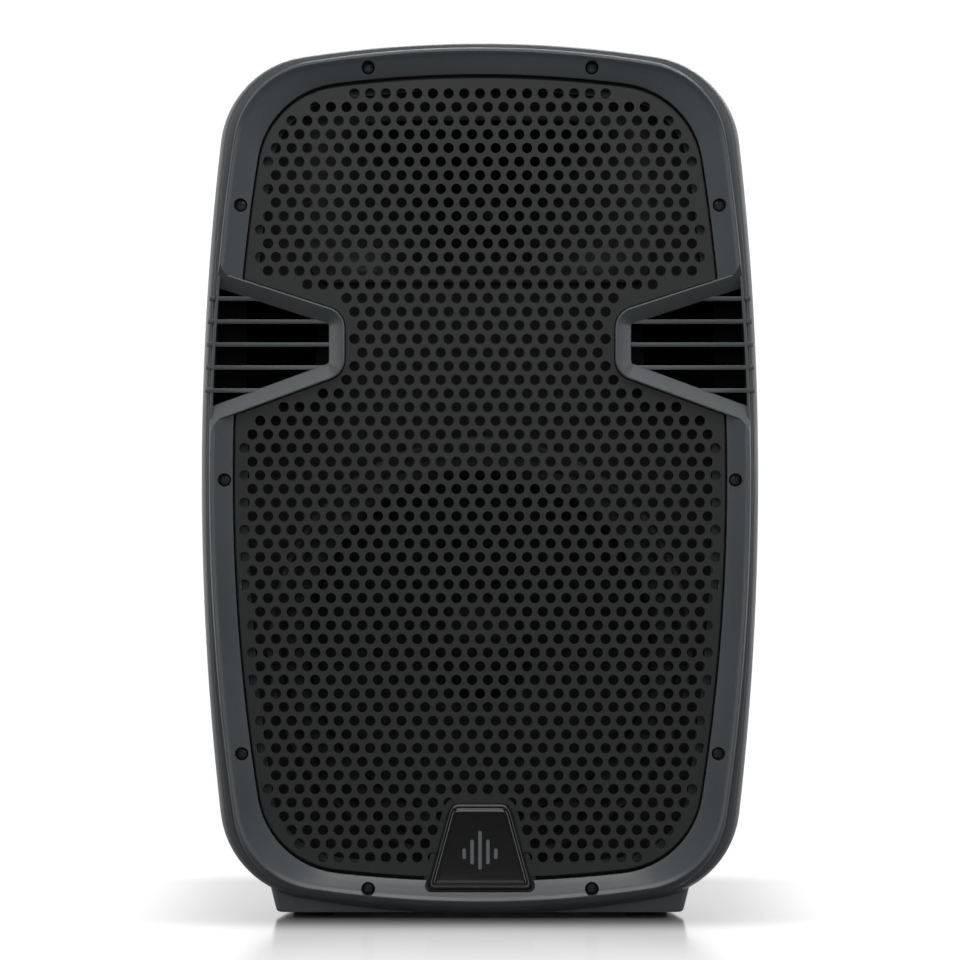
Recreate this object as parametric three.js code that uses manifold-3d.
// Powered two-way PA loudspeaker in a moulded cabinet, in millimetres.
// The grille faces -Y, +X is to its right and +Z is up. The origin is on the floor, at the middle
// of the footprint. A moulded front frame sits in the mouth of the rear shell, and carries the
// drivers; the amplifier hangs on a panel in the back of the shell.
import * as THREE from "three";
import { mergeVertices } from "three/addons/utils/BufferGeometryUtils.js";
import Module from "manifold-3d";

const wasm = await Module();
wasm.setup();

// ---- Driving dimensions -------------------------------------------------------------------
const WIDTH = 320;
const HEIGHT = 500;
const DEPTH = 262;
const FRONT = -DEPTH / 2;
const BACK = DEPTH / 2;
const FLOOR_GAP = 1; // the moulded rim clears the floor by this much
const TOP_RADIUS = 530; // crown of the cabinet's top and bottom edges
const SIDE_RADIUS = 1450; // bulge of its sides
const CORNER_RADIUS = 55;
const WALL = 4;
const GAP = 0.3; // clearance between touching pieces

const CREST_INSET = 7; // from the outside of the shell in to the crest of the front frame
const SKIRT_INSET = 3.8; // outside of the front frame's skirt
const MOUTH_INSET = 3.3; // inside of the shell's mouth
const SKIRT_WALL = 3;
const SKIRT_BACK = -98.4;
const MOUTH_FRONT = -122.5;
const FLANGE_FRONT = -96; // ledge inside the shell that the frame is screwed to
const FLANGE_BACK = -90;
const FLANGE_INSET = 21;

const GRILLE = { halfWidth: 140, bottom: 22, top: 480, topR: 650, bottomR: 730, sideR: 1170, corner: 50 };
const GRILLE_FRONT = -124.5;
const GRILLE_THICK = 1.5;
const GRILLE_GAP = 1.1; // shadow gap round the grille
const BORDER_INNER = -126; // height of the frame's border where it meets the grille
const LEDGE_WIDTH = 7;

const BAFFLE_FRONT = -105;
const BAFFLE_BACK = -99.4;

const PORT = { inner: 86.1, top: 338.6, bottom: 316.3, rise: 18, fall: 20.2, band: 8.6 };
const PORT_OUTER_INSET = 7.5; // the port opens this far from the outside of the cabinet
const RIB = { count: 5, step: 13.1, middle: 326.9, thick: 2.5, front: -129.5, back: -112 };
const DUCT = { wall: 2.5, halfWidth: 141, back: -40 };

const BORDER_SCREWS = [[63.7, 484.5], [136.3, 406.3], [145.5, 249.7], [135.7, 93.7], [63.7, 17]];
const BADGE = { bottom: 16, top: 66, bottomHalf: 31.3, topHalf: 17.6, front: -129, back: -121, corner: 4 };

const WOOFER_Z = 153;
const CONE_TRAVEL_ROOM = 1; // between the cone's rim and the surround's inner edge
const HORN = { z: 412, halfWidth: 92, halfHeight: 44, throatR: 12.5, throatY: -45, wall: 3 };

const HANDLE = {
  halfX: 66, y0: 8, y1: 84, floorZ: 446, gripY: 46, gripDepth: 26, gripZ: 480, gripHigh: 17,
};
const POLE = { y: 12, boreR: 18, tubeR: 22, flangeR: 36, flangeThick: 2.5, high: 70 };
const PLINTH = { bottom: 2, front: -109, back: 112, halfFront: 116.5, halfBack: 92, flare: 4, high: 20 };
const FOOT = { radius: 12, high: 3.6, pocket: 2, frontX: 96, backX: 78, frontY: -84, backY: 88 };

const PANEL = { halfWidth: 86, bottom: 62, top: 368, front: 112.4, thick: 2, corner: 6 };
const RECESS = { halfWidth: 90, bottom: 58, top: 372, floorY: 112, wall: 3.5, edge: 10 };
const PANEL_FACE = PANEL.front + PANEL.thick;
const PANEL_SCREWS = [[-80, 68], [80, 68], [-80, 362], [80, 362]];
const KNOB = { radius: 7.5, high: 11, shaftR: 3, holeR: 4, z: 268, xs: [-60, -32, -4, 24, 52] };
const BUTTON = { x: 0, z: 318, size: 7, proud: 4.5 };
const SOCKET_Z = 322;

// ---- Solids: closed meshes in, closed meshes out ------------------------------------------
function toSolid(geometry) {
  const bare = geometry.clone();
  bare.deleteAttribute("normal");
  bare.deleteAttribute("uv");
  const merged = mergeVertices(bare, 1e-4);
  const points = merged.getAttribute("position").array;
  const corners = merged.index.array;
  const kept = [];
  let volume = 0;
  for (let i = 0; i < corners.length; i += 3) {
    const [a, b, c] = [corners[i], corners[i + 1], corners[i + 2]];
    if (a !== b && b !== c && c !== a) {
      kept.push(a, b, c);
      volume += signedVolume(points, a, b, c);
    }
  }
  const triVerts = new Uint32Array(volume < 0 ? kept.reverse() : kept);
  const vertProperties = new Float32Array(points);
  return new wasm.Manifold(new wasm.Mesh({ numProp: 3, vertProperties, triVerts }));
}

function signedVolume(points, a, b, c) {
  const [p, q, r] = [a, b, c].map((i) => new THREE.Vector3().fromArray(points, 3 * i));
  return p.dot(q.cross(r));
}

function toGeometry(solid) {
  const mesh = solid.getMesh();
  const geometry = new THREE.BufferGeometry();
  geometry.setAttribute("position", new THREE.BufferAttribute(new Float32Array(mesh.vertProperties), 3));
  geometry.setIndex(new THREE.BufferAttribute(new Uint32Array(mesh.triVerts), 1));
  geometry.computeVertexNormals();
  return geometry;
}

const union = (...solids) => solids.reduce((all, next) => all.add(next));
const cut = (solid, ...tools) => tools.reduce((rest, tool) => rest.subtract(tool), solid);

function box(x0, x1, y0, y1, z0, z1) {
  const geometry = new THREE.BoxGeometry(x1 - x0, y1 - y0, z1 - z0);
  return toSolid(geometry.translate((x0 + x1) / 2, (y0 + y1) / 2, (z0 + z1) / 2));
}

// A closed outline of [x, z] points, extruded along Y.
function prismY(outline, y0, y1) {
  const shape = new THREE.Shape(outline.map(([x, z]) => new THREE.Vector2(x, z)));
  const geometry = new THREE.ExtrudeGeometry(shape, { depth: y1 - y0, bevelEnabled: false });
  return toSolid(geometry.rotateX(Math.PI / 2).translate(0, y1, 0));
}

// A profile of [radius, y] points turned about an axis along Y through (x, z).
function turnY(profile, x, z, segments = 24) {
  const points = profile.map(([r, y]) => new THREE.Vector2(r, y));
  return toSolid(new THREE.LatheGeometry(points, segments).translate(x, 0, z));
}

// A profile of [radius, z] points turned about an upright axis through (x, y).
function turnZ(profile, x, y, segments = 24) {
  const points = profile.map(([r, z]) => new THREE.Vector2(r, z));
  return toSolid(new THREE.LatheGeometry(points, segments).rotateX(Math.PI / 2).translate(x, y, 0));
}

const rodY = (radius, y0, y1, x, z, segments = 16) =>
  turnY([[0, y0], [radius, y0], [radius, y1], [0, y1]], x, z, segments);

const tubeProfile = (inner, outer, low, high) =>
  [[inner, low], [outer, low], [outer, high], [inner, high], [inner, low]];

// Skins rings of [x, z] points, all with the same count, placed at rising y, and closes both ends.
function loft(rings) {
  const count = rings[0].points.length;
  const position = [];
  const index = [];
  for (const { points, y } of rings) {
    for (const [x, z] of points) {
      position.push(x, y, z);
    }
  }
  for (let ring = 0; ring < rings.length - 1; ring += 1) {
    for (let i = 0; i < count; i += 1) {
      const [a, b] = [ring * count + i, ring * count + ((i + 1) % count)];
      index.push(a, b, a + count, b, b + count, a + count);
    }
  }
  const last = (rings.length - 1) * count;
  for (let i = 1; i < count - 1; i += 1) {
    index.push(0, i + 1, i, last, last + i, last + i + 1);
  }
  const geometry = new THREE.BufferGeometry();
  geometry.setAttribute("position", new THREE.Float32BufferAttribute(position, 3));
  geometry.setIndex(index);
  return toSolid(geometry);
}

// ---- Outlines, as [x, z] points -----------------------------------------------------------
// A rounded rectangle whose four edges bulge: arcs of topR, bottomR and sideR joined by corners.
function bulged({ halfWidth, bottom, top, topR, bottomR, sideR, corner }, steps = [3, 3, 2]) {
  const middle = (top + bottom) / 2;
  const side = [halfWidth - sideR, middle];
  const upper = quarter([0, top - topR], topR, side, sideR, corner, 1, steps);
  const lower = quarter([0, bottom + bottomR], bottomR, side, sideR, corner, -1, steps).reverse();
  const right = [...upper.slice(0, -1), ...lower];
  const left = right.slice(1, -1).reverse().map(([x, z]) => [-x, z]);
  return [...right, ...left];
}

// One quarter, from the middle of the top or bottom edge round to the middle of the right side.
function quarter(edge, edgeR, side, sideR, corner, up, [edgeSteps, cornerSteps, sideSteps]) {
  const centre = circlesMeet(edge, edgeR - corner, side, sideR - corner, up);
  const edgeEnd = Math.atan2(centre[1] - edge[1], centre[0] - edge[0]);
  const sideStart = Math.atan2(centre[1] - side[1], centre[0] - side[0]);
  return [
    ...arc(edge, edgeR, (up * Math.PI) / 2, edgeEnd, edgeSteps).slice(0, -1),
    ...arc(centre, corner, edgeEnd, sideStart, cornerSteps).slice(0, -1),
    ...arc(side, sideR, sideStart, 0, sideSteps),
  ];
}

function arc([cx, cz], radius, from, to, steps) {
  const points = [];
  for (let i = 0; i <= steps; i += 1) {
    const angle = from + ((to - from) * i) / steps;
    points.push([cx + radius * Math.cos(angle), cz + radius * Math.sin(angle)]);
  }
  return points;
}

// Where two circles cross, on the upper or lower side of the line from the first to the second.
function circlesMeet(a, radiusA, b, radiusB, up) {
  const [dx, dz] = [b[0] - a[0], b[1] - a[1]];
  const apart = Math.hypot(dx, dz);
  const along = (apart ** 2 + radiusA ** 2 - radiusB ** 2) / (2 * apart);
  const across = Math.sqrt(radiusA ** 2 - along ** 2);
  const ways = [1, -1].map((way) => [
    a[0] + (along * dx - way * across * dz) / apart,
    a[1] + (along * dz + way * across * dx) / apart,
  ]);
  return ways.find(([x, z]) => x > 0 && up * (z - a[1]) > 0);
}

// The cabinet's own outline, drawn in by side, top and bottom amounts.
function cabinet(side, top = side, bottom = side) {
  return bulged({
    halfWidth: WIDTH / 2 - side,
    bottom: FLOOR_GAP + bottom,
    top: HEIGHT - top,
    topR: TOP_RADIUS - top,
    bottomR: TOP_RADIUS - bottom,
    sideR: SIDE_RADIUS - side,
    corner: CORNER_RADIUS - Math.min(side, top) * 0.5,
  });
}

function grilleOutline(grow) {
  return bulged({
    halfWidth: GRILLE.halfWidth + grow,
    bottom: GRILLE.bottom - grow,
    top: GRILLE.top + grow,
    topR: GRILLE.topR + grow,
    bottomR: GRILLE.bottomR + grow,
    sideR: GRILLE.sideR + grow,
    corner: GRILLE.corner + grow,
  });
}

// A polygon of [x, z] corners with every corner rounded.
function rounded(corners, radius, steps = 3) {
  const points = [];
  corners.forEach((corner, i) => {
    const here = new THREE.Vector2(...corner);
    const before = new THREE.Vector2(...corners.at(i - 1)).sub(here).normalize();
    const after = new THREE.Vector2(...corners[(i + 1) % corners.length]).sub(here).normalize();
    const half = Math.acos(before.dot(after)) / 2;
    const reach = radius / Math.tan(half);
    const start = here.clone().addScaledVector(before, reach);
    const end = here.clone().addScaledVector(after, reach);
    for (let step = 0; step <= steps; step += 1) {
      const t = step / steps;
      const p = start.clone().lerp(here, t).lerp(here.clone().lerp(end, t), t);
      points.push([p.x, p.y]);
    }
  });
  return points;
}

const rectangle = (x0, x1, z0, z1, radius, steps = 3) =>
  rounded([[x0, z0], [x1, z0], [x1, z1], [x0, z1]], radius, steps);

// The port's opening, grown by an amount on its three inner sides and run out past the cabinet.
function portOutline(side, grow, radius, outerX = WIDTH / 2 + 20) {
  const [rise, fall] = [PORT.rise, PORT.fall].map(THREE.MathUtils.degToRad);
  const inner = PORT.inner - grow;
  const top = PORT.top + grow / Math.cos(rise) - grow * Math.tan(rise);
  const bottom = PORT.bottom - grow / Math.cos(fall) + grow * Math.tan(fall);
  const corners = [
    [inner, bottom],
    [outerX, bottom - (outerX - inner) * Math.tan(fall)],
    [outerX, top + (outerX - inner) * Math.tan(rise)],
    [inner, top],
  ];
  return rounded(corners, radius, 3).map(([x, z]) => [side * x, z]);
}

function badgeOutline(grow) {
  const lean = (BADGE.bottomHalf - BADGE.topHalf) / (BADGE.top - BADGE.bottom);
  const bottom = BADGE.bottom - grow;
  const top = BADGE.top + grow;
  const low = BADGE.bottomHalf + grow * (1 + lean);
  const high = BADGE.topHalf + grow * (1 - lean);
  return rounded([[-low, bottom], [low, bottom], [high, top], [-high, top]], BADGE.corner + grow * 0.5);
}

// ---- Parts --------------------------------------------------------------------------------
const MATERIALS = {
  shell: { color: 0x46494c, roughness: 0.55, metalness: 0 },
  grille: { color: 0x2e3032, roughness: 0.45, metalness: 0.6 },
  black: { color: 0x17191a, roughness: 0.4, metalness: 0 },
  gloss: { color: 0x141616, roughness: 0.1, metalness: 0 },
  steel: { color: 0x8a8d8f, roughness: 0.35, metalness: 1 },
  rubber: { color: 0x202020, roughness: 0.8, metalness: 0 },
  paper: { color: 0x262626, roughness: 0.9, metalness: 0 },
  ferrite: { color: 0x303234, roughness: 0.7, metalness: 0.2 },
  alloy: { color: 0x3a3c3e, roughness: 0.5, metalness: 0.8 },
  copper: { color: 0xb06a3a, roughness: 0.4, metalness: 1 },
  board: { color: 0x1f5a3a, roughness: 0.6, metalness: 0 },
  lens: { color: 0x3f8fd0, roughness: 0.2, metalness: 0 },
};

const loudspeaker = new THREE.Group();

function add(name, solid, material) {
  const mesh = new THREE.Mesh(toGeometry(solid), new THREE.MeshStandardMaterial(MATERIALS[material]));
  mesh.name = name;
  loudspeaker.add(mesh);
}

const SIDES = { left: -1, right: 1 };
const borderScrews = BORDER_SCREWS.flatMap(([x, z]) => [[-x, z], [x, z]]);

// Rear shell: [y, side, top, bottom] stations, each drawn in from the largest outline.
const SHELL_STATIONS = [
  [MOUTH_FRONT, 2.6, 2.6, 2.6],
  [-119.5, 1.1, 1.1, 1.1],
  [-114, 0, 0, 0],
  [-60, 1, 1, 2.5],
  [0, 9, 3, 4],
  [60, 24, 9, 6],
  [100, 38, 18, 10],
  [121, 47, 27, 15],
  [BACK, 56, 38, 24],
];

function shellBody(shrink) {
  const rings = SHELL_STATIONS.map(([y, side, top, bottom]) => ({
    y,
    points: cabinet(side + shrink, top + shrink, bottom + shrink),
  }));
  return rings;
}

function plinth(shrink) {
  const ring = (halfWidth, y) => ({
    y,
    points: [
      [-halfWidth + shrink, PLINTH.bottom + shrink],
      [halfWidth - shrink, PLINTH.bottom + shrink],
      [halfWidth + PLINTH.flare - shrink, PLINTH.bottom + PLINTH.high],
      [-halfWidth - PLINTH.flare + shrink, PLINTH.bottom + PLINTH.high],
    ],
  });
  return loft([
    ring(PLINTH.halfFront, PLINTH.front + shrink),
    ring(PLINTH.halfBack, PLINTH.back - shrink),
  ]);
}

function feetPlaces() {
  return [
    [-FOOT.frontX, FOOT.frontY],
    [FOOT.frontX, FOOT.frontY],
    [-FOOT.backX, FOOT.backY],
    [FOOT.backX, FOOT.backY],
  ];
}

function rearShell() {
  const outer = union(loft(shellBody(0)), plinth(0));
  const hollowRings = shellBody(WALL).filter(({ y }) => y > FLANGE_BACK && y < BACK);
  const firstRing = { y: FLANGE_BACK, points: cabinet(WALL + 0.5) };
  const lastRing = { y: BACK - WALL, points: cabinet(56, 38, 24) };
  let hollow = union(loft([firstRing, ...hollowRings, lastRing]), plinth(WALL));
  const { halfWidth, bottom, top, floorY, wall, edge } = RECESS;
  const recessWall = box(
    -halfWidth - wall, halfWidth + wall, floorY - wall, BACK, bottom - wall, top + wall);
  const handleWall = box(
    -HANDLE.halfX - wall, HANDLE.halfX + wall, HANDLE.y0 - wall, HANDLE.y1 + wall,
    HANDLE.floorZ - wall, HEIGHT);
  const poleSeat = turnZ([[0, 0], [POLE.flangeR + 5, 0], [POLE.flangeR + 5, 9], [0, 9]], 0, POLE.y);
  hollow = cut(hollow, recessWall, handleWall, poleSeat);
  const mouth = loft([
    { y: FRONT - 1, points: cabinet(MOUTH_INSET) },
    { y: FLANGE_FRONT, points: cabinet(MOUTH_INSET) },
  ]);
  const throat = loft([
    { y: FLANGE_FRONT - 1, points: cabinet(FLANGE_INSET) },
    { y: FLANGE_BACK + 1, points: cabinet(FLANGE_INSET) },
  ]);
  const bosses = borderScrews.map(([x, z]) => rodY(6, FLANGE_FRONT, FLANGE_BACK + 8, x, z, 8));
  const holes = borderScrews.map(([x, z]) => rodY(2, FLANGE_FRONT - 1, FLANGE_BACK + 6, x, z, 8));
  const recess = prismY(rectangle(-halfWidth, halfWidth, bottom, top, 8), floorY, BACK + 1);
  const window = box(
    -halfWidth + edge, halfWidth - edge, floorY - wall - 1, floorY + 1, bottom + edge, top - edge);
  const handle = box(-HANDLE.halfX, HANDLE.halfX, HANDLE.y0, HANDLE.y1, HANDLE.floorZ, HEIGHT + 10);
  const poleCut = turnZ([
    [0, -1],
    [POLE.flangeR + GAP, -1],
    [POLE.flangeR + GAP, PLINTH.bottom + POLE.flangeThick + 0.5],
    [POLE.tubeR + GAP, PLINTH.bottom + POLE.flangeThick + 0.5],
    [POLE.tubeR + GAP, 12],
    [0, 12],
  ], 0, POLE.y, 32);
  const pockets = feetPlaces().map(([x, y]) => turnZ([
    [0, -1],
    [FOOT.radius + GAP, -1],
    [FOOT.radius + GAP, PLINTH.bottom + FOOT.pocket],
    [0, PLINTH.bottom + FOOT.pocket],
  ], x, y));
  const ductWays = Object.values(SIDES).map((side) => prismY(
    portOutline(side, DUCT.wall + 0.5, 4, DUCT.halfWidth + DUCT.wall + 0.5),
    FLANGE_FRONT - 1, FLANGE_BACK + 1));
  const panelPilots = PANEL_SCREWS.map(([x, z]) => rodY(1.9, floorY - wall - 1, floorY + 1, x, z, 8));
  const body = cut(union(cut(outer, hollow, mouth, throat), ...bosses), ...holes, ...ductWays);
  return cut(body, recess, window, handle, poleCut, ...pockets, ...panelPilots);
}

add("rear_shell", rearShell(), "shell");

function frontBaffle() {
  const skirt = loft([
    { y: FRONT, points: cabinet(CREST_INSET) },
    { y: FRONT + 1.5, points: cabinet(CREST_INSET - 1.6) },
    { y: FRONT + 4.5, points: cabinet(SKIRT_INSET) },
    { y: SKIRT_BACK, points: cabinet(SKIRT_INSET) },
  ]);
  const dish = loft([
    { y: FRONT - 1, points: cabinet(CREST_INSET + 1.4) },
    { y: FRONT, points: cabinet(CREST_INSET + 1.4) },
    { y: BORDER_INNER, points: grilleOutline(GRILLE_GAP) },
    { y: GRILLE_FRONT + GRILLE_THICK + GAP, points: grilleOutline(GRILLE_GAP) },
  ]);
  const ledgeHole = prismY(grilleOutline(-LEDGE_WIDTH), GRILLE_FRONT, BAFFLE_FRONT);
  const channelOuter = prismY(cabinet(SKIRT_INSET + SKIRT_WALL), -122, SKIRT_BACK + 1);
  const channelInner = prismY(grilleOutline(SKIRT_WALL - LEDGE_WIDTH), -123, SKIRT_BACK + 2);
  const behind = prismY(grilleOutline(-LEDGE_WIDTH), BAFFLE_BACK, SKIRT_BACK + 2);
  const bosses = borderScrews.map(([x, z]) => rodY(6, -124, SKIRT_BACK, x, z, 8));
  const hollowed = cut(skirt, cut(channelOuter, channelInner), behind);
  let body = cut(union(hollowed, ...bosses), dish, ledgeHole);

  const insideSkirt = loft([
    { y: FRONT - 1, points: cabinet(PORT_OUTER_INSET) },
    { y: BACK, points: cabinet(PORT_OUTER_INSET) },
  ]);
  const insideCrest = loft([
    { y: FRONT - 1, points: cabinet(SKIRT_INSET + 1) },
    { y: BACK, points: cabinet(SKIRT_INSET + 1) },
  ]);
  for (const side of Object.values(SIDES)) {
    const band = prismY(portOutline(side, PORT.band, 12), FRONT + 2.5, -119);
    const sleeve = prismY(portOutline(side, SKIRT_WALL, 5), -122, SKIRT_BACK);
    const bore = prismY(portOutline(side, 0, 2), FRONT - 1, BAFFLE_BACK + 10).intersect(insideSkirt);
    body = cut(union(body, band.intersect(insideCrest), sleeve.intersect(insideCrest)), bore);
    const reach = prismY(portOutline(side, 3, 4), FRONT - 1, BACK).intersect(insideCrest);
    for (let i = 0; i < RIB.count; i += 1) {
      const z = RIB.middle + (i - (RIB.count - 1) / 2) * RIB.step;
      const bar = box(-WIDTH, WIDTH, RIB.front, RIB.back, z - RIB.thick / 2, z + RIB.thick / 2);
      body = union(body, bar.intersect(reach));
    }
  }

  const badgePad = prismY(badgeOutline(2), BADGE.back + GAP, BADGE.back + GAP + 2);
  const badgeRoom = prismY(badgeOutline(GRILLE_GAP), FRONT - 1, BADGE.back + GAP);
  const wooferHole = rodY(116, BAFFLE_FRONT - 1, BAFFLE_BACK + 1, 0, WOOFER_Z, 40);
  const hornHole = prismY(rectangle(
    -HORN.halfWidth - 1, HORN.halfWidth + 1, HORN.z - HORN.halfHeight - 1,
    HORN.z + HORN.halfHeight + 1, 12), BAFFLE_FRONT - 1, BAFFLE_BACK + 1);
  body = cut(union(cut(body, badgeRoom), badgePad), wooferHole, hornHole);
  const heads = borderScrews.map(([x, z]) => rodY(3.7, FRONT - 1, -121.5, x, z, 10));
  const shanks = borderScrews.map(([x, z]) => rodY(2.3, -122, SKIRT_BACK + 1, x, z, 8));
  return cut(body, ...heads, ...shanks);
}

add("front_baffle", frontBaffle(), "shell");

add("shell_gasket", cut(
  prismY(cabinet(SKIRT_INSET), SKIRT_BACK + GAP, FLANGE_FRONT - GAP),
  prismY(cabinet(SKIRT_INSET + SKIRT_WALL), SKIRT_BACK, FLANGE_FRONT),
), "rubber");

function grille() {
  const sheet = prismY(grilleOutline(0), GRILLE_FRONT, GRILLE_FRONT + GRILLE_THICK);
  const ports = Object.values(SIDES).map((side) =>
    prismY(portOutline(side, PORT.band + 0.8, 12.5), GRILLE_FRONT - 1, GRILLE_FRONT + 3));
  const badgeRoom = prismY(badgeOutline(0.8), GRILLE_FRONT - 1, GRILLE_FRONT + 3);
  return cut(sheet, ...ports, badgeRoom);
}

add("grille", grille(), "grille");
add("badge", prismY(badgeOutline(0), BADGE.front, BADGE.back), "gloss");

borderScrews.forEach(([x, z], i) => {
  const screw = turnY([
    [0, -125], [2.2, -125], [3.2, -124.2], [3.2, -122.2], [1.7, -122.2], [1.7, -88], [0, -86],
  ], x, z, 8);
  add(`front_screw_${String(i + 1).padStart(2, "0")}`, screw, "black");
});

feetPlaces().forEach(([x, y], i) => {
  const { radius, high } = FOOT;
  add(`foot_${i + 1}`, turnZ([[0, 0], [radius - 1, 0], [radius, 1], [radius, high], [0, high]], x, y, 16),
    "rubber");
});

add("pole_socket", turnZ([
  [POLE.boreR, PLINTH.bottom + 0.2],
  [POLE.flangeR, PLINTH.bottom + 0.2],
  [POLE.flangeR, PLINTH.bottom + 0.2 + POLE.flangeThick],
  [POLE.tubeR, PLINTH.bottom + 0.2 + POLE.flangeThick],
  [POLE.tubeR, PLINTH.bottom + POLE.high],
  [0, PLINTH.bottom + POLE.high],
  [0, PLINTH.bottom + POLE.high - 3],
  [POLE.boreR, PLINTH.bottom + POLE.high - 3],
  [POLE.boreR, PLINTH.bottom + 0.2],
], 0, POLE.y, 32), "steel");

function handleGrip() {
  const { halfX, gripY, gripDepth, gripZ, gripHigh } = HANDLE;
  const section = rectangle(-gripDepth / 2, gripDepth / 2, -gripHigh / 2, gripHigh / 2, 6, 3);
  const bar = prismY(section, -halfX + GAP, halfX - GAP);
  return bar.rotate([0, 0, -90]).translate([0, gripY, gripZ]);
}

add("handle_grip", handleGrip(), "rubber");

for (const [name, side] of Object.entries(SIDES)) {
  const { wall, halfWidth, back } = DUCT;
  const front = SKIRT_BACK + GAP;
  const tube = prismY(portOutline(side, wall, 4, halfWidth + wall), front, back);
  add(`port_duct_${name}`, cut(tube, prismY(portOutline(side, 0, 2, halfWidth), front - 1, back + 1)),
    "shell");
}

// ---- Bass driver, on an axis along Y. Its profiles are [radius, depth behind the baffle's face].
function woofer(profile, segments = 28) {
  return turnY(profile.map(([r, depth]) => [r, BAFFLE_FRONT + depth]), 0, WOOFER_Z, segments);
}

function wooferBasket() {
  const frame = woofer([
    [100, -5], [122, -5], [122, -GAP], [114, -GAP], [111, 10], [60, 62], [60, 66], [24, 66], [24, 63],
    [56, 59], [96, 18], [100, 2], [100, -5],
  ], 28);
  const windows = [];
  for (let i = 0; i < 6; i += 1) {
    const opening = box(-18, 18, BAFFLE_FRONT + 24, BAFFLE_FRONT + 52, 50, 130);
    windows.push(opening.rotate([0, i * 60 + 30, 0]).translate([0, 0, WOOFER_Z]));
  }
  return cut(frame, ...windows);
}

const CONE_RIM = 97;
const SURROUND_IN = CONE_RIM + CONE_TRAVEL_ROOM;

add("woofer_basket", wooferBasket(), "black");
add("woofer_surround", woofer([
  [SURROUND_IN, -6.2], [SURROUND_IN + 4, -10], [106, -11.3], [111, -10], [114, -6.4], [119, -6.4],
  [119, -5.3], [SURROUND_IN, -5.3], [SURROUND_IN, -6.2],
]), "rubber");
add("woofer_cone", woofer([
  [20.8, 33], [60, 16], [CONE_RIM, -5], [CONE_RIM, -3.6], [60, 17.6], [20.8, 35], [20.8, 33],
]), "paper");
add("woofer_dust_cap", woofer([[0, 14], [18, 17], [29.5, 27.8], [29.5, 28.4], [16, 19], [0, 16]]), "paper");
add("woofer_voice_coil", woofer(tubeProfile(19.2, 20.2, 29, 75), 24), "copper");
add("woofer_spider", woofer([
  [22, 46], [30, 44], [38, 48], [50, 47], [50, 48], [38, 49], [30, 45], [22, 47], [22, 46],
], 24), "paper");
add("woofer_top_plate", woofer(tubeProfile(21.2, 52, 66.3, 72.3), 28), "steel");
add("woofer_magnet", woofer(tubeProfile(28, 60, 72.6, 90.6), 28), "ferrite");
add("woofer_yoke", woofer([
  [0, 67], [18.2, 67], [18.2, 90.9], [54, 90.9], [54, 96.9], [0, 96.9],
], 28), "steel");

// ---- High-frequency horn ------------------------------------------------------------------
// Rings that pass from a rounded rectangle at the mouth to a circle at the throat.
function hornRing(t, grow) {
  const half = THREE.MathUtils.lerp(HORN.halfWidth, HORN.throatR, t ** 0.55) + grow;
  const high = THREE.MathUtils.lerp(HORN.halfHeight, HORN.throatR, t ** 0.8) + grow;
  const power = THREE.MathUtils.lerp(5, 2, Math.min(1, t * 1.4));
  const points = [];
  for (let i = 0; i < 24; i += 1) {
    const angle = (i / 24) * 2 * Math.PI;
    const [c, s] = [Math.cos(angle), Math.sin(angle)];
    const x = Math.sign(c) * Math.abs(c) ** (2 / power) * half;
    points.push([x, HORN.z + Math.sign(s) * Math.abs(s) ** (2 / power) * high]);
  }
  return points;
}

function horn() {
  const mouthY = BAFFLE_FRONT - 3;
  const stations = [0, 0.15, 0.4, 0.7, 1];
  const place = (t) => mouthY + (HORN.throatY - mouthY) * t;
  const outside = loft(stations.map((t) => ({ y: place(t), points: hornRing(t, HORN.wall) })));
  const inside = loft([
    { y: mouthY - 1, points: hornRing(0, 0) },
    ...stations.map((t) => ({ y: place(t), points: hornRing(t, 0) })),
    { y: HORN.throatY + 1, points: hornRing(1, 0) },
  ]);
  const { halfWidth, halfHeight, z, throatR, throatY } = HORN;
  const shaft = prismY(rectangle(
    -halfWidth - 0.5, halfWidth + 0.5, z - halfHeight - 0.5, z + halfHeight + 0.5, 12),
    mouthY, HORN.throatY + 20);
  const flange = prismY(rectangle(
    -halfWidth - 6, halfWidth + 6, z - halfHeight - 5, z + halfHeight + 5, 12),
    mouthY, BAFFLE_FRONT - GAP);
  const seat = rodY(throatR + 12, throatY - 4, throatY, 0, z, 20);
  return cut(union(outside.intersect(shaft), flange, seat), inside);
}

add("horn", horn(), "black");
add("hf_driver", turnY([
  [HORN.throatR, HORN.throatY + GAP], [38, HORN.throatY + GAP], [38, -22], [33, -20], [33, -12], [0, -12],
  [0, -30], [HORN.throatR, -36], [HORN.throatR, HORN.throatY + GAP],
], 0, HORN.z, 28), "ferrite");
add("hf_cover", turnY([[0, -11.7], [33, -11.7], [33, -5], [26, 0], [0, 0]], 0, HORN.z, 28), "black");

// ---- Amplifier in the back ----------------------------------------------------------------
const knobPlaces = KNOB.xs.map((x) => [x, KNOB.z]);
const INLET = { x0: -70, x1: -22, z0: 186, z1: 213 };
const SWITCH = { x: 30, z: 200, halfWidth: 10.5, halfHeight: 14.5 };
const ROCKER = { pivotY: PANEL_FACE - 2.2, tilt: 8 };
const SOCKETS = { combo_socket_1: -62, combo_socket_2: -30, link_socket: 34 };
const LEDS = { power_led: 62, limit_led: 74 };
const LED_Z = 300;

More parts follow.
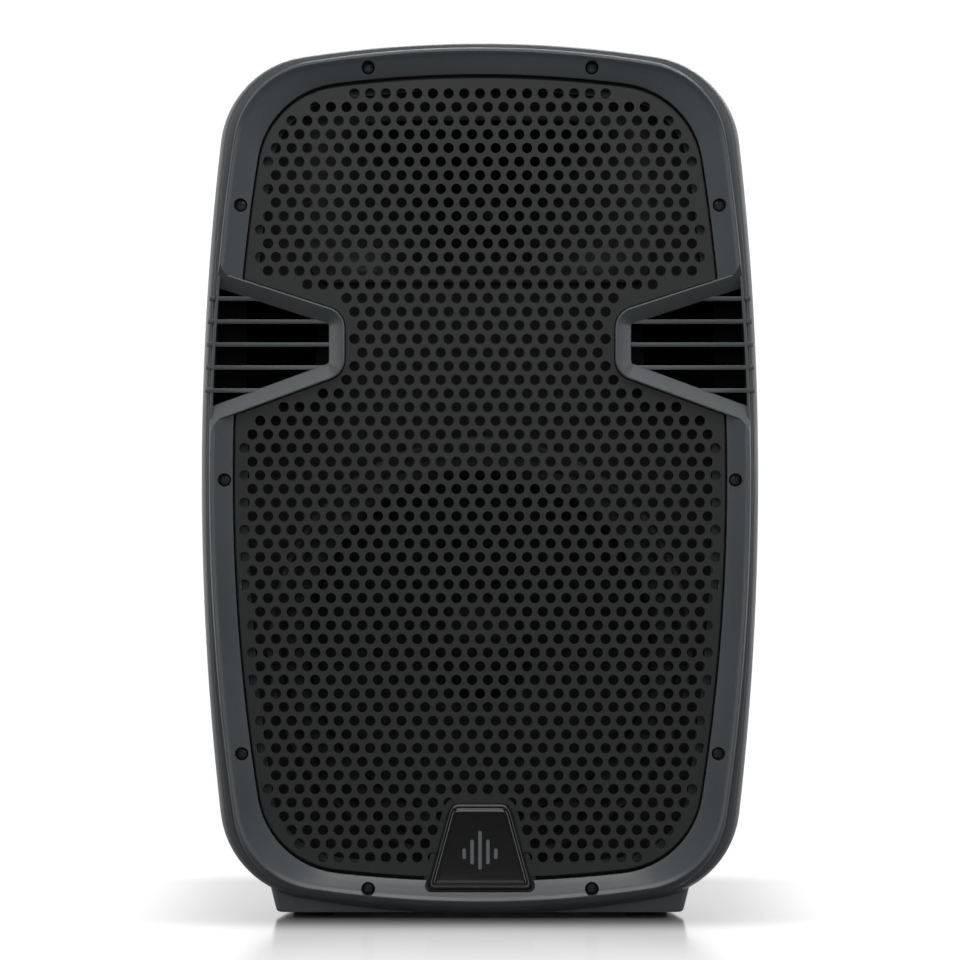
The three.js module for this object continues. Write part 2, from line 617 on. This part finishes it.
function ampPanel() {
  const { halfWidth, bottom, top, front, corner } = PANEL;
  const plate = prismY(rectangle(-halfWidth, halfWidth, bottom, top, corner), front, PANEL_FACE);
  const tools = [
    ...knobPlaces.map(([x, z]) => rodY(KNOB.holeR, front - 1, PANEL_FACE + 1, x, z, 12)),
    ...Object.values(SOCKETS).map((x) => rodY(11.7, front - 1, PANEL_FACE + 1, x, SOCKET_Z, 16)),
    ...Object.values(LEDS).map((x) => rodY(1.8, front - 1, PANEL_FACE + 1, x, LED_Z, 12)),
    ...PANEL_SCREWS.map(([x, z]) => rodY(2.1, front - 1, PANEL_FACE + 1, x, z, 12)),
    box(INLET.x0 - GAP, INLET.x1 + GAP, front - 1, PANEL_FACE + 1, INLET.z0 - GAP, INLET.z1 + GAP),
    box(SWITCH.x - SWITCH.halfWidth - GAP, SWITCH.x + SWITCH.halfWidth + GAP, front - 1, PANEL_FACE + 1,
      SWITCH.z - SWITCH.halfHeight - GAP, SWITCH.z + SWITCH.halfHeight + GAP),
    box(BUTTON.x - BUTTON.size / 2 - GAP, BUTTON.x + BUTTON.size / 2 + GAP, front - 1, PANEL_FACE + 1,
      BUTTON.z - BUTTON.size / 2 - GAP, BUTTON.z + BUTTON.size / 2 + GAP),
    box(-66, 66, front - 1, PANEL_FACE + 1, 84, 164),
  ];
  return cut(plate, ...tools);
}

add("amp_panel", ampPanel(), "alloy");

function heatsink() {
  const base = box(-72, 72, PANEL_FACE + GAP, PANEL_FACE + 4, 76, 172);
  const foot = box(-65, 65, 98, PANEL_FACE + 1, 85, 163);
  const fins = [];
  for (let i = 0; i < 13; i += 1) {
    const x = -69 + i * 11.5;
    fins.push(box(x - 1.2, x + 1.2, PANEL_FACE + 3, BACK - 1.5, 76, 172));
  }
  return union(base, foot, ...fins);
}

add("heatsink", heatsink(), "alloy");
add("amp_board", box(-74, 74, 96, 97.6, 80, 178), "board");
add("mains_transformer", turnY(tubeProfile(12, 42, 58, 95.4), 0, 128, 32), "copper");
add("control_board", union(
  box(-78, 78, 90, 91.6, 226, 350),
  ...knobPlaces.map(([x, z]) => box(x - 8, x + 8, 91, 104, z - 8, z + 8)),
  ...Object.values(LEDS).map((x) => rodY(1.4, 91, 108, x, LED_Z, 8)),
  box(BUTTON.x - 5, BUTTON.x + 5, 91, 102, BUTTON.z - 5, BUTTON.z + 5),
), "board");

for (const [name, x] of Object.entries(SOCKETS)) {
  const flange = prismY(rectangle(x - 13, x + 13, SOCKET_Z - 15.5, SOCKET_Z + 15.5, 3),
    PANEL_FACE + GAP, PANEL_FACE + 2.2);
  const barrel = rodY(11.2, 92, PANEL_FACE + 1, x, SOCKET_Z, 16);
  const bore = rodY(9.2, 100, PANEL_FACE + 4, x, SOCKET_Z, 16);
  add(name, cut(union(flange, barrel), bore), "black");
}

function mainsInlet() {
  const { x0, x1, z0, z1 } = INLET;
  const flange = prismY(rectangle(x0 - 4, x1 + 4, z0 - 2.5, z1 + 2.5, 3), PANEL_FACE + GAP, PANEL_FACE + 3);
  const body = box(x0, x1, 94, PANEL_FACE + 1, z0, z1);
  const well = prismY(rounded([
    [x0 + 12, z0 + 4], [x1 - 12, z0 + 4], [x1 - 12, z1 - 8], [x1 - 16, z1 - 4], [x0 + 16, z1 - 4],
    [x0 + 12, z1 - 8],
  ], 1, 1), 99, PANEL_FACE + 5);
  const pins = [-7, 0, 7].map((dx, i) => {
    const [x, z] = [(x0 + x1) / 2 + dx, (z0 + z1) / 2 + (i === 1 ? 3 : -3)];
    return box(x - 1, x + 1, 98, PANEL_FACE - 1, z - 2, z + 2);
  });
  return union(cut(union(flange, body), well), ...pins);
}

add("mains_inlet", mainsInlet(), "black");

function switchHousing() {
  const { x, z, halfWidth, halfHeight } = SWITCH;
  const rim = rectangle(x - halfWidth - 2, x + halfWidth + 2, z - halfHeight - 2, z + halfHeight + 2, 2);
  const flange = prismY(rim, PANEL_FACE + GAP, PANEL_FACE + 2.2);
  const body = box(x - halfWidth, x + halfWidth, 98, PANEL_FACE + 1, z - halfHeight, z + halfHeight);
  const well = box(x - halfWidth + 2, x + halfWidth - 2, 101, PANEL_FACE + 4, z - halfHeight + 2,
    z + halfHeight - 2);
  return cut(union(flange, body), well);
}

add("switch_housing", switchHousing(), "black");

// The rocker is a shallow V in side view. It turns about an axis along X through the middle of the
// housing, and is drawn with its lower end pressed in, which is off.
function powerRocker() {
  const { x, z, halfHeight } = SWITCH;
  const reach = halfHeight - 3.2;
  const section = [[-reach, 0], [-3, -5], [3, -5], [reach, 0], [reach, 6], [0, 4.6], [-reach, 6]];
  const bar = prismY(section, -7.8, 7.8).rotate([0, 0, -90]).rotate([-90 - ROCKER.tilt, 0, 0]);
  return bar.translate([x, ROCKER.pivotY, z]);
}

add("power_rocker", powerRocker(), "black");

knobPlaces.forEach(([x, z], i) => {
  const { radius, high, shaftR } = KNOB;
  const base = PANEL_FACE + 1;
  const cap = turnY([
    [0, 104.5], [shaftR, 104.5], [shaftR, base], [radius, base], [radius - 0.8, base + high - 1],
    [radius - 1.6, base + high], [0, base + high],
  ], x, z, 14);
  const notch = box(x - 0.6, x + 0.6, base + high - 1, base + high + 1, z + 1, z + radius + 1);
  add(`knob_${i + 1}`, cut(cap, notch), "black");
});

{
  const { x, z, size, proud } = BUTTON;
  const half = size / 2;
  add("select_button", box(x - half, x + half, 104.5, PANEL_FACE + proud, z - half, z + half), "gloss");
}

for (const [name, x] of Object.entries(LEDS)) {
  add(name, turnY([[0, 108.4], [1.5, 108.4], [1.5, PANEL_FACE + 0.4], [0.9, PANEL_FACE + 1.2],
    [0, PANEL_FACE + 1.4]], x, LED_Z, 8), "lens");
}

PANEL_SCREWS.forEach(([x, z], i) => {
  add(`panel_screw_${i + 1}`, turnY([[0, 109], [1.6, 109], [1.6, PANEL_FACE + GAP], [3.6, PANEL_FACE + GAP],
    [3.2, PANEL_FACE + 2], [0, PANEL_FACE + 2.4]], x, z, 8), "black");
});

export default loudspeaker;
